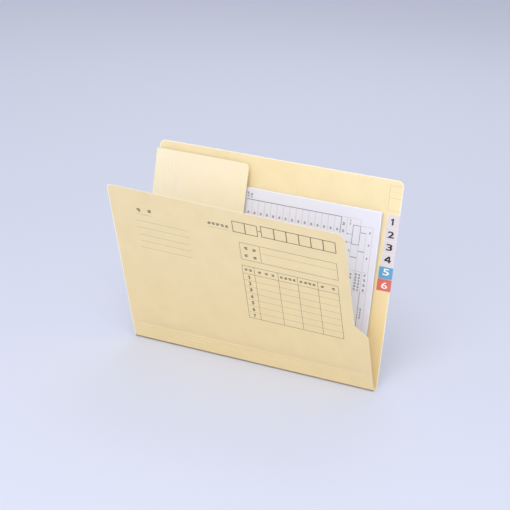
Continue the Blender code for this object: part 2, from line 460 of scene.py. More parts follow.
def dress_surface(tree, shader, place, pulp_values, pale, edge, bump, depth):
    """Link pulp, pale cut edges and fine relief to a shader."""
    pulp = place_group(tree, pulp_group, {"Place": place, **pulp_values})
    nearness = attribute_node(tree, "cut_edge", "Fac")
    values = {"Place": place, "Edge": nearness, "Colour": pulp["Colour"], "Pale": pale, "Amount": edge}
    rim = place_group(tree, edge_group, values)
    values = {"Strength": bump, "Distance": depth, "Height": pulp["Height"]}
    normal = add_node(tree, "ShaderNodeBump", values)["Normal"]
    values = {"Base Color": rim["Colour"], "Roughness": pulp["Roughness"], "Normal": normal}
    set_inputs(tree, shader, values)


print("helpers for materials ready")

# %% Card and paper
MANILA = (0.90, 0.74, 0.43, 1.0)
INNER_MANILA = (0.89, 0.775, 0.50, 1.0)
# painted shade: towards the fold the manila is mixed to a deeper, warmer colour that stands in for the
# shade and bounce light inside the V
FOLD_SHADE_MANILA = (0.88, 0.68, 0.33, 1.0)
PALE_MANILA = (0.89, 0.81, 0.62, 1.0)
FORM_WHITE = (0.77, 0.79, 0.93, 1.0)
# painted contact shadow: a dark line along the outside of each fold, where the card meets the floor
CREASE_SHADOW_COLOUR = (0.20, 0.13, 0.07, 1.0)
CREASE_SHADOW = 0.9
CREASE_SHADOW_START = 1.3 * MM
CREASE_SHADOW_END = 2.6 * MM
# span and strength of the painted shade towards the fold, on the inner and the outer face
FOLD_SHADE_START = 40 * MM
FOLD_SHADE_END = 190 * MM
FOLD_SHADE_INSIDE = 0.8
FOLD_SHADE_OUTSIDE = 0.4
INNER_LAYER = 0.05


def two_sided_colour(tree, place, colour, inner):
    """Manila's two faces, with a painted shade towards the fold and a painted contact shadow along the
    outer fold line.
    """
    split = add_node(tree, "ShaderNodeSeparateXYZ", {0: place})
    inside = range_node(tree, split["Z"], 0.4 * INNER_LAYER, 0.6 * INNER_LAYER)
    from_fold = math_node(tree, "ABSOLUTE", split["Y"])
    # painted shade towards the fold, strongest at the foot of the V and on the inner face
    depth = range_node(tree, split["Y"], FOLD_SHADE_START, FOLD_SHADE_END, FOLD_SHADE_INSIDE, 0.0)
    outer = mix_colour(tree, math_node(tree, "MULTIPLY", depth, FOLD_SHADE_OUTSIDE), colour, FOLD_SHADE_MANILA)
    inner = mix_colour(tree, depth, inner, FOLD_SHADE_MANILA)
    # painted contact shadow along the outer side of the crease
    near_fold = range_node(tree, from_fold, CREASE_SHADOW_START, CREASE_SHADOW_END, CREASE_SHADOW, 0.0)
    crease_shadow = math_node(tree, "MULTIPLY", near_fold, math_node(tree, "SUBTRACT", 1.0, inside))
    return mix_colour(tree, crease_shadow, mix_colour(tree, inside, outer, inner), CREASE_SHADOW_COLOUR)


def make_pulp_material(name, colour, shade, pale, cloud, fibre, specks, rough, bump, edge, inner=None):
    """A matt surface of card or paper; inner is the colour of the face inside the fold."""
    material, tree, shader = bare_material(name)
    place = attribute_node(tree, "flat_place", "Vector")
    pulp_values = {
        "Colour": two_sided_colour(tree, place, colour, inner) if inner else colour,
        "Shade": shade,
        "Cloud": cloud,
        "Fibre": fibre,
        "Specks": specks,
        "Roughness": rough,
    }
    dress_surface(tree, shader, place, pulp_values, pale, edge, bump, RELIEF_DEPTH)
    sheen = {"Specular IOR Level": 0.35, "Sheen Weight": 0.08, "Sheen Roughness": 0.6}
    set_inputs(tree, shader, sheen)
    return material


manila = make_pulp_material(
    "manila_card", MANILA, shade=(0.77, 0.60, 0.34, 1.0), pale=(1.0, 0.98, 0.91, 1.0),
    cloud=0.22, fibre=0.22, specks=0.38, rough=0.78, bump=0.35, edge=0.95, inner=INNER_MANILA,
)
pale_manila = make_pulp_material(
    "pale_manila_card", PALE_MANILA, shade=(0.84, 0.73, 0.51, 1.0), pale=(1.0, 0.99, 0.94, 1.0),
    cloud=0.2, fibre=0.2, specks=0.4, rough=0.75, bump=0.3, edge=0.95,
)
form_paper = make_pulp_material(
    "form_paper", FORM_WHITE, shade=(0.75, 0.75, 0.85, 1.0), pale=(1.0, 1.0, 1.0, 1.0),
    cloud=0.25, fibre=0.15, specks=0.0, rough=0.85, bump=0.15, edge=0.9,
)
print("card and paper:", manila.name, pale_manila.name, form_paper.name)

# %% Label film and inks
FILM_SHADE = 0.9


def make_film_material(name, colour, pale):
    """Smooth coated label stock."""
    material, tree, shader = bare_material(name)
    place = attribute_node(tree, "flat_place", "Vector")
    pulp_values = {
        "Colour": colour,
        "Shade": tuple(FILM_SHADE * c for c in colour[:3]) + (1.0,),
        "Cloud": 0.35,
        "Fibre": 0.12,
        "Specks": 0.0,
        "Roughness": 0.36,
    }
    dress_surface(tree, shader, place, pulp_values, pale, 0.55, 0.05, FILM_RELIEF_DEPTH)
    set_inputs(tree, shader, {"Coat Weight": 0.25, "Coat Roughness": 0.2})
    return material


def make_ink_material(name, ink, under, thin):
    material, tree, shader = bare_material(name)
    place = attribute_node(tree, "flat_place", "Vector")
    cover = place_group(tree, ink_group, {"Place": place, "Ink": ink, "Under": under, "Thin": thin})
    values = {"Base Color": cover["Colour"], "Roughness": cover["Roughness"], "Specular IOR Level": 0.3}
    set_inputs(tree, shader, values)
    return material


label_white = make_film_material("label_white", (0.74, 0.70, 0.76, 1.0), (0.92, 0.91, 0.93, 1.0))
label_blue = make_film_material("label_blue", (0.12, 0.38, 0.66, 1.0), (0.5, 0.7, 0.85, 1.0))
label_red = make_film_material("label_red", (0.72, 0.16, 0.13, 1.0), (0.9, 0.5, 0.45, 1.0))
form_ink = make_ink_material("form_ink", (0.06, 0.04, 0.03, 1.0), MANILA, 0.2)
faint_ink = make_ink_material("faint_ink", (0.40, 0.30, 0.18, 1.0), MANILA, 0.4)
guide_ink = make_ink_material("guide_ink", (0.62, 0.47, 0.26, 1.0), MANILA, 0.4)
sheet_ink = make_ink_material("sheet_ink", (0.13, 0.12, 0.15, 1.0), FORM_WHITE, 0.25)
pale_sheet_ink = make_ink_material("pale_sheet_ink", (0.45, 0.44, 0.50, 1.0), FORM_WHITE, 0.4)
numeral_black = make_ink_material("numeral_black", (0.02, 0.02, 0.03, 1.0), (0.3, 0.3, 0.3, 1.0), 0.1)
numeral_white = make_ink_material("numeral_white", (0.88, 0.89, 0.90, 1.0), (0.7, 0.7, 0.75, 1.0), 0.15)
print("materials:", len([m for m in bpy.data.materials if m.use_nodes]))

# %% [markdown]
# ## From flat blank to folded card
# The real folder starts as a flat blank that is die-cut, creased and then folded. The
# pieces here are made the same way. A flat outline is inset along its rim and sliced where
# the card has to bend, each point is carried to its place in the folded shape, and two
# such layers are closed into one solid sheet. A solidify modifier could add the thickness,
# but here the layers also hold the pressed score lines, so the code sets both.

# %% Outline and blank
RIM = 1.1 * MM
ARC_STEPS = 8
WELD = 1e-7


def spread(low, high, count):
    """Places from low to high, both included, in equal steps."""
    return [low + (high - low) * index / count for index in range(count + 1)]


def corner_arc(before, corner, after, radius):
    """Points that round one corner of an outline."""
    if radius <= 0:
        return [corner]
    to_before = math.atan2(before[1] - corner[1], before[0] - corner[0])
    to_after = math.atan2(after[1] - corner[1], after[0] - corner[0])
    turn = (to_after - to_before + math.pi) % (2 * math.pi) - math.pi
    reach = radius / math.tan(abs(turn) / 2)
    to_centre = radius / math.sin(abs(turn) / 2)
    middle = to_before + turn / 2
    centre = (corner[0] + to_centre * math.cos(middle), corner[1] + to_centre * math.sin(middle))
    start_x = corner[0] + reach * math.cos(to_before) - centre[0]
    start_y = corner[1] + reach * math.sin(to_before) - centre[1]
    start = math.atan2(start_y, start_x)
    sweep = -math.copysign(math.pi - abs(turn), turn)
    angles = spread(start, start + sweep, ARC_STEPS)
    return [(centre[0] + radius * math.cos(a), centre[1] + radius * math.sin(a)) for a in angles]


def rounded(corners):
    """An outline from (x, h, radius) corners."""
    outline = []
    for index, (x, h, radius) in enumerate(corners):
        before = corners[index - 1]
        after = corners[(index + 1) % len(corners)]
        outline += corner_arc(before, (x, h), after, radius)
    return outline


def cut_blank(outline, rim, across, up):
    """A flat bmesh in x and h: the outline with an inset rim, sliced at the given places."""
    flat = bmesh.new()
    face = flat.faces.new([flat.verts.new((x, h, 0)) for x, h in outline])
    face.normal_update()
    bmesh.ops.inset_region(flat, faces=[face], thickness=rim, use_even_offset=True, use_boundary=True)
    cuts = [((x, 0, 0), (1, 0, 0)) for x in across]
    cuts += [((0, h, 0), (0, 1, 0)) for h in up]
    for spot, facing in cuts:
        everything = flat.verts[:] + flat.edges[:] + flat.faces[:]
        bmesh.ops.bisect_plane(flat, geom=everything, dist=WELD, plane_co=spot, plane_no=facing)
    return flat


def even_cuts(low, high, step):
    """Places between low and high, about a step apart."""
    return spread(low, high, max(1, round((high - low) / step)))[1:-1]


corners = [(0, 0, 0), (100 * MM, 0, 0), (100 * MM, 50 * MM, 5 * MM), (0, 50 * MM, 5 * MM)]
sample = cut_blank(rounded(corners), RIM, [50 * MM], [])
rim_row = min(v.co.y for v in sample.verts if v.co.y > WELD)
print("a sample blank has", len(sample.faces), "faces, its rim", round(rim_row / MM, 3), "mm in")
sample.free()

# %% [markdown]
# ### Two layers, one sheet
# The two layers share the blank's points, so closing them needs only side faces along the
# open edges. Each point keeps its place on the blank, for the pulp, and its nearness to a
# cut edge, for the pale rim. Unwrapping the folded mesh would give the same places with
# seams to hide.

# %% Layers to solid
SHARP_ANGLE = math.radians(40)


def edge_share(x, h, segments, width):
    """Each segment's share on the cut outline itself, falling to 0 at the given width inside."""
    best = 0.0
    for (ax, ah), (bx, bh), share in segments:
        dx = bx - ax
        dh = bh - ah
        along = ((x - ax) * dx + (h - ah) * dh) / max(dx * dx + dh * dh, 1e-18)
        along = min(1.0, max(0.0, along))
        inside = math.hypot(x - ax - along * dx, h - ah - along * dh)
        best = max(best, share * (1.0 - inside / width))
    return best


def raise_sheet(name, flat, place, outer, inner, material, segments=(), width=RIM):
    """Close two placed layers of a flat blank into one sheet; outer and inner are offsets."""
    flat.verts.index_update()
    points = [(v.co.x, v.co.y) for v in flat.verts]
    count = len(points)
    verts = [place(x, h, outer) for x, h in points]
    verts += [place(x, h, inner) for x, h in points]
    faces = []
    for face in flat.faces:
        ring = [v.index for v in face.verts]
        faces.append(ring)
        faces.append([index + count for index in reversed(ring)])
    for edge in flat.edges:
        if len(edge.link_faces) == 1:
            first, second = (v.index for v in edge.verts)
            faces.append([second, first, first + count, second + count])
    mesh = bpy.data.meshes.new(name)
    mesh.from_pydata(verts, [], faces)
    shape = bmesh.new()
    shape.from_mesh(mesh)
    bmesh.ops.recalc_face_normals(shape, faces=shape.faces)
    shape.to_mesh(mesh)
    shape.free()
    where = mesh.attributes.new("flat_place", "FLOAT_VECTOR", "POINT")
    values = []
    for layer in (0.0, INNER_LAYER):
        for x, h in points:
            values += [x, h, layer]
    where.data.foreach_set("vector", values)
    rim = mesh.attributes.new("cut_edge", "FLOAT", "POINT")
    shares = [edge_share(x, h, segments, width) for x, h in points]
    rim.data.foreach_set("value", shares * 2)
    mesh.shade_smooth()
    mesh.set_sharp_from_angle(angle=SHARP_ANGLE)
    mesh.materials.append(material)
    flat.free()
    print(name, "has", len(mesh.polygons), "faces")
    return add_object(name, mesh)


def outline_segments(outline, share=lambda a, b: 1.0):
    """The outline's cut segments, each with how pale it is; a seam's share is 0."""
    pairs = zip(outline, outline[1:] + outline[:1])
    return [(a, b, share(a, b)) for a, b in pairs if share(a, b) > 0]


print("sheet builder ready")

# %% [markdown]
# ## The two panels' surfaces
# A folded card follows the spine strip, turns through a crease of nearly two millimetres
# radius and runs straight up its panel. One function gives that section, and each panel
# adds its own lean. The real cover is not quite flat: it leans out more at its right edge
# than at its left, so its lean grows evenly along the spine, which keeps every upright
# line straight. The back panel stands a little straighter away from the flap, which
# stiffens its left.

# %% Panel surfaces
TWIST_START = LEFT + 0.15 * WIDTH
TWIST_LENGTH = 0.45 * WIDTH


def fold_section(h, lean):
    """Point and inward normal of a folded panel, h past its crease, as (out, up) pairs."""
    turn = math.pi / 2 - lean
    reach = FOLD_RADIUS * math.tan(turn / 2)
    if h <= -reach:
        return (HALF_SPINE + h, HALF_CARD), (0.0, 1.0)
    if h >= reach:
        point = (HALF_SPINE + h * math.sin(lean), HALF_CARD + h * math.cos(lean))
        return point, (-math.cos(lean), math.sin(lean))
    angle = turn * (h + reach) / (2 * reach)
    centre = (HALF_SPINE - reach, HALF_CARD + FOLD_RADIUS)
    point = (centre[0] + FOLD_RADIUS * math.sin(angle), centre[1] - FOLD_RADIUS * math.cos(angle))
    return point, (-math.sin(angle), math.cos(angle))


def back_point(x, h, offset, lean=None):
    """A point of the back panel; a positive offset is towards the cover."""
    if lean is None:
        share = min(1.0, max(0.0, (x - TWIST_START) / TWIST_LENGTH))
        lean = BACK_LEAN - BACK_TWIST * share * share * (3 - 2 * share)
    point, normal = fold_section(h, lean)
    return (x, point[0] + offset * normal[0], point[1] + offset * normal[1])


def cover_point(x, h, offset):
    """A point of the cover; a positive offset is towards the back panel."""
    lean = COVER_LEAN + COVER_TWIST * x / RIGHT
    point, normal = fold_section(h, lean)
    return (x, -point[0] - offset * normal[0], point[1] + offset * normal[1])


print("cover's top left corner:", [round(v / MM, 1) for v in cover_point(LEFT, COVER_HEIGHT, 0)])

# %% [markdown]
# ### Score lines
# Five creases are pressed across the foot of each panel, so that the folder can be folded
# wider as it fills. A bump texture would vanish in profile, so they are real grooves: the
# outer face sinks and the inner face rises as far.

# %% Score lines
SCORE_DEPTH = 0.15 * MM
SCORE_HALF = 0.45 * MM
SCORE_SLICES = 4
SCORE_PITCH = 5 * MM
SCORE_PLACES = [SCORE_PITCH * (step + 1) for step in range(5)]
SCORE_END = 3 * MM
SCORE_FADE = 1 * MM


def score_sink(distance, to_end):
    """How far a score pushes the card in, at a distance from its line."""
    if abs(distance) >= SCORE_HALF or to_end <= 0:
        return 0.0
    fade = min(1.0, to_end / SCORE_FADE)
    return SCORE_DEPTH * fade * 0.5 * (1 + math.cos(math.pi * distance / SCORE_HALF))


def panel_sink(x, h):
    to_end = min(x - LEFT, RIGHT - x) - SCORE_END
    return sum(score_sink(h - line, to_end) for line in SCORE_PLACES)


def scored(point):
    return lambda x, h, offset: point(x, h, offset + panel_sink(x, h))


def score_cuts(lines):
    """Slices that a row of scores needs across the blank."""
    return [h for line in lines for h in spread(line - SCORE_HALF, line + SCORE_HALF, SCORE_SLICES)]


print("score lines at", [round(line / MM, 1) for line in SCORE_PLACES], "mm")

# %% [markdown]
# ## Front cover
# The cover is the lower panel in front. Its right edge is cut back so that the index strip
# shows, and steps out again below a sloping shoulder. The card runs on under the folder as
# far as the spine's middle line. Its panel is a little warped. It could be one mesh, but one
# blank is parted between two score lines into a foot and a panel, and only the panel rides
# with the cover.

# %% Panel blanks
ACROSS_STEP = 10 * MM
UP_STEP = 12 * MM
SCORED_HEIGHT = 30 * MM
CREASE_SLICES = 8
FAINT_RIM = 0.18


def crease_cuts(lean):
    reach = FOLD_RADIUS * math.tan((math.pi / 2 - lean) / 2)
    return spread(-reach, reach, CREASE_SLICES)


def cut_panel(outline, lean, height, more=()):
    """A panel's blank, sliced where its crease and scores bend it and evenly elsewhere."""
    across = even_cuts(LEFT, RIGHT, ACROSS_STEP) + [LEFT + SCORE_END, RIGHT - SCORE_END]
    up = crease_cuts(lean) + score_cuts(SCORE_PLACES) + even_cuts(SCORED_HEIGHT, height, UP_STEP)
    return cut_blank(outline, RIM, across, up + list(more))


def bend_from_spine(card):
    """Bake a card's placement into its mesh."""
    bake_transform(card)


print("the cover's crease takes slices at", [round(h / MM, 2) for h in crease_cuts(COVER_LEAN)])

# %% Front cover card
FOOT_HEIGHT = 7.5 * MM
SHOULDER_RADIUS = 4 * MM
COVER_RIGHT_RADIUS = 10 * MM
COVER_LEFT_RADIUS = 5 * MM
LEFT_EDGE = LEFT + 4 * MM


def cover_rim(a, b):
    """The left edge is palest: partly worn by handling, partly a painted highlight along it."""
    if a[1] == b[1] == -HALF_SPINE:
        return 0.0
    return 1.0 if max(a[0], b[0]) < LEFT_EDGE else FAINT_RIM


def keep_rows(flat, low, high):
    """Part a blank: only the faces between two heights stay."""
    gone = [face for face in flat.faces if not low < face.calc_center_median().y < high]
    bmesh.ops.delete(flat, geom=gone, context="FACES")


def press_flat(piece):
    """Give a piece its own copy of its mesh."""
    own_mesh(piece)


def make_cover_part(name, low, high):
    corners = [
        (LEFT, -HALF_SPINE, 0),
        (RIGHT, -HALF_SPINE, 0),
        (RIGHT, SHOULDER_LOW, SHOULDER_RADIUS),
        (UNDERCUT_EDGE, SHOULDER_HIGH, SHOULDER_RADIUS),
        (UNDERCUT_EDGE, COVER_HEIGHT, COVER_RIGHT_RADIUS),
        (LEFT, COVER_HEIGHT, COVER_LEFT_RADIUS),
    ]
    outline = rounded(corners)
    flat = cut_panel(outline, COVER_LEAN, COVER_HEIGHT, [FOOT_HEIGHT])
    keep_rows(flat, low, high)
    cut = outline_segments(outline, cover_rim)
    card = raise_sheet(name, flat, scored(cover_point), -HALF_CARD, HALF_CARD, manila, cut)
    return card


cover_foot = make_cover_part("cover_foot", -HALF_SPINE, FOOT_HEIGHT)
bend_from_spine(cover_foot)
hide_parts("spine_strip")
cover_panel = make_cover_part("cover_card", FOOT_HEIGHT, COVER_HEIGHT)
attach(cover_panel, "cover")
press_flat(cover_panel)
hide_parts("front_cover")

# %% [markdown]
# ## Back panel
# The back panel is taller, with plain rounded corners. Its left edge carries the pocket
# flap between two slots, so the blank is notched there by the width of that fold and the
# flap's own card takes over.

# %% Back panel card
SIDE_FOLD = 0.9 * MM
NOTCH = LEFT + SIDE_FOLD
BACK_RADIUS = 7 * MM


def back_rim(a, b):
    """The seam under the folder and the flap's fold aren't cut edges."""
    seam = a[1] == b[1] == -HALF_SPINE or a[0] == b[0] == NOTCH
    return 0.0 if seam else 1.0


corners = [
    (LEFT, -HALF_SPINE, 0),
    (RIGHT, -HALF_SPINE, 0),
    (RIGHT, BACK_HEIGHT, BACK_RADIUS),
    (LEFT, BACK_HEIGHT, BACK_RADIUS),
    (LEFT, FLAP_HIGH, 0),
    (NOTCH, FLAP_HIGH, 0),
    (NOTCH, FLAP_LOW, 0),
    (LEFT, FLAP_LOW, 0),
]
outline = rounded(corners)
flat = cut_panel(outline, BACK_LEAN, BACK_HEIGHT)
cut = outline_segments(outline, back_rim)
card = raise_sheet("back_card", flat, scored(back_point), -HALF_CARD, HALF_CARD, manila, cut)
bend_from_spine(card)
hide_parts("back_panel")

# %% [markdown]
# ## Pocket flap
# The flap is card folded twice at the panel's left edge: round the edge, out along a narrow
# gusset and back across the front of the forms. Five upright scores beside the fold let the
# gusset widen. It is one piece that bends from the back panel to the flap.

# %% The flap's section
FLAP_FOLD_RADIUS = 0.8 * MM
FLAP_SCORES = [(14.5 + 3.3 * step) * MM for step in range(5)]
FLAP_SCORE_SHARE = 1.25

FLAP_SIDE = LEFT + HALF_CARD
EDGE_RADIUS = SIDE_FOLD - HALF_CARD
EDGE_END = EDGE_RADIUS * math.pi / 2
FLAP_TURN = math.pi / 2 - FLAP_TILT
FLAP_REACH = FLAP_FOLD_RADIUS * math.tan(FLAP_TURN / 2)
WALL_END = EDGE_END + FLAP_DEPTH - EDGE_RADIUS - FLAP_REACH
FOLD_END = WALL_END + FLAP_FOLD_RADIUS * FLAP_TURN
FLAP_START = FOLD_END - FLAP_REACH


def flap_section(s):
    """Point and outward normal of the flap card as (x, offset) pairs; s runs along the card."""
    if s <= EDGE_END:
        angle = s / EDGE_RADIUS
        normal = (-math.sin(angle), -math.cos(angle))
        centre = (FLAP_SIDE + EDGE_RADIUS, EDGE_RADIUS)
        return (centre[0] + EDGE_RADIUS * normal[0], centre[1] + EDGE_RADIUS * normal[1]), normal
    if s <= WALL_END:
        return (FLAP_SIDE, EDGE_RADIUS + s - EDGE_END), (-1.0, 0.0)
    if s <= FOLD_END:
        angle = (s - WALL_END) / FLAP_FOLD_RADIUS
        normal = (-math.cos(angle), math.sin(angle))
        centre = (FLAP_SIDE + FLAP_FOLD_RADIUS, FLAP_DEPTH - FLAP_REACH)
        point = (centre[0] + FLAP_FOLD_RADIUS * normal[0], centre[1] + FLAP_FOLD_RADIUS * normal[1])
        return point, normal
    across = s - FLAP_START
    point = (FLAP_SIDE + across * math.cos(FLAP_TILT), FLAP_DEPTH + across * math.sin(FLAP_TILT))
    return point, (-math.sin(FLAP_TILT), math.cos(FLAP_TILT))


def flap_point(s, h, offset):
    to_end = min(h - FLAP_LOW, FLAP_HIGH - h) - SCORE_END
    sink = FLAP_SCORE_SHARE * sum(score_sink(s - FLAP_START - line, to_end) for line in FLAP_SCORES)
    point, normal = flap_section(s)
    lift = offset - sink
    return back_point(point[0] + lift * normal[0], h, point[1] + lift * normal[1], BACK_LEAN)


print("the flap's fold ends", round(FOLD_END / MM, 2), "mm along its card")

# %% Pocket flap card
FLAP_RADIUS = 6 * MM
FLAP_PLAIN = 35 * MM
EDGE_SLICES = 4
FOLD_SLICES = 6


def flap_rim(a, b):
    return 0.0 if a[0] == b[0] == 0 else FAINT_RIM


length = FLAP_START + FLAP_WIDTH
corners = [(0, FLAP_LOW, 0), (length, FLAP_LOW, FLAP_RADIUS)]
corners += [(length, FLAP_HIGH, FLAP_RADIUS), (0, FLAP_HIGH, 0)]
outline = rounded(corners)
across = spread(0, EDGE_END, EDGE_SLICES)[1:] + spread(WALL_END, FOLD_END, FOLD_SLICES)
across += score_cuts([line + FLAP_START for line in FLAP_SCORES])
across += even_cuts(FLAP_PLAIN, length, ACROSS_STEP)
up = even_cuts(FLAP_LOW, FLAP_HIGH, UP_STEP) + [FLAP_LOW + SCORE_END, FLAP_HIGH - SCORE_END]
flat = cut_blank(outline, RIM, across, up)
cut = outline_segments(outline, flap_rim)
card = raise_sheet("flap_card", flat, flap_point, HALF_CARD, -HALF_CARD, pale_manila, cut)
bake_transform(card)
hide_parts("pocket_flap", "flap_gusset")

# %% [markdown]
# ## Forms in the pocket
# Three office sheets lie sideways behind the flap. Thin paper is never quite flat, so each
# sheet carries a slow wave and curls away from the panel towards its upper right corner,
# more so at the front of the stack. A cloth simulation would do the same with less
# control over the narrow gaps between the sheets.

# %% Form sheets
SHEET_LEFT = LEFT + 8.0 * MM
SHEET_RIGHT = RIGHT - 20.0 * MM
SHEET_FOOT = 0.45 * MM
SHEET_HEIGHT = 210 * MM
SHEET_STEP = 10 * MM
PAPER = 0.1 * MM
SHEET_OFFSETS = [3.05 * MM, 4.00 * MM, 4.95 * MM]
SHEET_WAVES = [0.06 * MM, 0.10 * MM, 0.15 * MM]
SHEET_CURLS = [0.4 * MM, 1.0 * MM, 2.2 * MM]
CURL_START = LEFT + 110 * MM
WAVE_START = 40 * MM


def sheet_ripple(x, h):
    """Two slow crossing waves; the factors are radians a metre."""
    return math.sin(19.0 * x + 4.0 * h + 0.6) * math.sin(11.0 * h + 2.0 * x)


def sheet_point(index):
    def point(x, h, offset):
        lift = SHEET_WAVES[index] * (1.0 + sheet_ripple(x, h)) * min(1.0, h / WAVE_START)
        across = max(0.0, (x - CURL_START) / (SHEET_RIGHT - CURL_START))
        up = h / SHEET_HEIGHT
        lift += SHEET_CURLS[index] * across * up * up
        return back_point(x, h, SHEET_OFFSETS[index] + lift + offset)

    return point


def make_sheet(index):
    top = SHEET_FOOT + SHEET_HEIGHT
    outline = [(SHEET_LEFT, SHEET_FOOT), (SHEET_RIGHT, SHEET_FOOT), (SHEET_RIGHT, top), (SHEET_LEFT, top)]
    across = even_cuts(SHEET_LEFT, SHEET_RIGHT, SHEET_STEP)
    flat = cut_blank(outline, RIM, across, even_cuts(SHEET_FOOT, top, SHEET_STEP))
    name = f"form_paper_{index + 1}"
    half = PAPER / 2
    cut = outline_segments(outline)
    sheet = raise_sheet(name, flat, sheet_point(index), half, -half, form_paper, cut)
    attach(sheet, f"sheet_{index + 1}")
    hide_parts(f"form_sheet_{index + 1}")


for index in range(3):
    make_sheet(index)

# %% [markdown]
# ## Numeral labels
# Each label is a strip of coated stock wrapped round the index edge, so that its numeral
# reads from both sides. The blank is a rectangle with small rounded corners, rolled round
# the panel's edge.

# %% Labels
LABEL_REACHES = [14.4 * MM, 15.3 * MM, 15.4 * MM, 15.5 * MM, 17.0 * MM, 17.2 * MM]
LABEL_FILM = 0.08 * MM
LABEL_CLEAR = 0.03 * MM
LABEL_GAP = 0.3 * MM
LABEL_LAP = 0.1 * MM
LABEL_TOP = 208.4 * MM
LABEL_HEIGHTS = [15.3 * MM] * 4 + [14.2 * MM] * 2
LABEL_RADIUS = 0.6 * MM
LABEL_RIM = 0.4 * MM
LABEL_STEP = 6 * MM
LABEL_UP_STEP = 5 * MM
WRAP_SLICES = 10
LABEL_STOCK = [label_white] * 4 + [label_blue, label_red]
WRAP_RADIUS = HALF_CARD + LABEL_CLEAR
HALF_WRAP = WRAP_RADIUS * math.pi / 2


def label_point(w, h, offset):
    """A point of a wrapped label; w runs from the front arm's end round to the back."""
    radius = WRAP_RADIUS + offset
    if w < -HALF_WRAP:
        return back_point(RIGHT + w + HALF_WRAP, h, radius)
    if w > HALF_WRAP:
        return back_point(RIGHT - w + HALF_WRAP, h, -radius)
    angle = w / WRAP_RADIUS
    return back_point(RIGHT + radius * math.cos(angle), h, -radius * math.sin(angle))


def label_spans():
    """Lower and upper edge of each label."""
    spans = []
    top = LABEL_TOP
    for height in LABEL_HEIGHTS:
        spans.append((top - height - LABEL_LAP, top + LABEL_LAP))
        top -= height + LABEL_GAP
    return spans


def make_label(index, low, high):
    reach = LABEL_REACHES[index] + HALF_WRAP
    corners = [(-reach, low), (reach, low), (reach, high), (-reach, high)]
    outline = rounded([(w, h, LABEL_RADIUS) for w, h in corners])
    across = spread(-HALF_WRAP, HALF_WRAP, WRAP_SLICES)
    across += [way * (reach - step * LABEL_STEP) for way in (-1, 1) for step in (1, 2)]
    flat = cut_blank(outline, LABEL_RIM, across, even_cuts(low, high, LABEL_UP_STEP))
    name = f"label_film_{index + 1}"
    cut = outline_segments(outline)
    label = raise_sheet(name, flat, label_point, LABEL_FILM, 0.0, LABEL_STOCK[index], cut, LABEL_RIM)
    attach(label, "back")
    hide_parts(f"numeral_label_{index + 1}")


for index, (low, high) in enumerate(label_spans()):
    make_label(index, low, high)

# %% [markdown]
# ## Printing
# The form lines are printed on the card. An image texture would be the usual way, but the
# lines are few and straight, so each is a film of ink a few hundredths of a millimetre
# thick, cut as a flat shape and laid on the same surface as its card. It stays sharp at any
# size. Faint lines, lines and marks stand a hair higher in that order, so no two faces meet.

# %% Ink lines
INK = 0.03 * MM
INK_STEP = 12 * MM
FAINT_RISE = 0.8 * INK
MARK_RISE = 1.2 * INK


def from_left(x):
    """A place along the folder, from millimetres to the right of its left edge."""
    return LEFT + x * MM


def ink_line(flat, x0, h0, x1, h1, width):
    """A straight line as a row of flat quads."""
    length = math.hypot(x1 - x0, h1 - h0)
    side = (-(h1 - h0) / length * width / 2, (x1 - x0) / length * width / 2)
    count = max(1, math.ceil(length / INK_STEP))
    pairs = []
    for x, h in zip(spread(x0, x1, count), spread(h0, h1, count)):
        ends = ((x - side[0], h - side[1], 0), (x + side[0], h + side[1], 0))
        pairs.append([flat.verts.new(end) for end in ends])
    for (a, b), (c, d) in zip(pairs, pairs[1:]):
        flat.faces.new((a, c, d, b))


def draw_lines(flat, width, rows):
    """Lines from (x, h) to (x, h) in millimetres, with x from the folder's left edge."""
    for x0, h0, x1, h1 in rows:
        ink_line(flat, from_left(x0), h0 * MM, from_left(x1), h1 * MM, width * MM)


def draw_boxes(flat, width, rows):
    """Boxes from their lower left to their upper right corner, as four lines each."""
    half = width / 2
    for x0, h0, x1, h1 in rows:
        draw_lines(flat, width, [(x0 - half, h, x1 + half, h) for h in (h0, h1)])
        draw_lines(flat, width, [(x, h0 + half, x, h1 - half) for x in (x0, x1)])


def lay_ink(name, flat, place, top, foot, material, body):
    """Raise flat ink shapes on a surface and let them ride with its body."""
    bmesh.ops.remove_doubles(flat, verts=flat.verts, dist=WELD)
    obj = raise_sheet(name, flat, place, top, foot, material)
    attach(obj, body)
    return obj


print("ink film", INK / MM, "mm thick")

# %% [markdown]
# ### Marks and numerals
# Besides lines the print has short marks and plain numerals. A mark is two or three short
# strokes of uneven length, one above another. Numerals come from Blender's own font, apart
# from the one, which is a bare bar there, and the four, whose counter closes when it is
# made bold: these two are drawn from a few points.

# %% Ink marks and numerals
MARK_TALL = 2.7 * MM
MARK_FILL = 0.7
MARK_GRAIN = 0.7 * MM
MARK_TRIMS = (0.0, 0.3, 0.12)
DIGIT_CURVE_STEPS = 3


def draw_marks(flat, rows):
    """Marks as (x, h, width, height) in millimetres, with x from the folder's left edge."""
    for x, h, wide, high in rows:
        ink_mark(flat, from_left(x), h * MM, wide * MM, high * MM)


def ink_mark(flat, x, h, wide, high):
    count = 3 if high > MARK_TALL else 2
    pitch = high / (count - 1 + MARK_FILL)
    thick = MARK_FILL * pitch
    for row in range(count):
        turn = round((x + h) / MARK_GRAIN) + row
        trim = MARK_TRIMS[turn % 3] * wide
        left = x - wide / 2 + trim * (turn % 2)
        middle = h - high / 2 + thick / 2 + row * pitch
        ink_line(flat, left, middle, left + wide - trim, middle, thick)


def ink_one(flat, x, h, high):
    """A one as a stem with a flag."""
    shape = [(-0.09, -0.5), (0.17, -0.5), (0.17, 0.5), (-0.02, 0.5)]
    shape += [(-0.27, 0.34), (-0.27, 0.12), (-0.09, 0.24)]
    flat.faces.new([flat.verts.new((x + high * a, h + high * b, 0)) for a, b in shape])


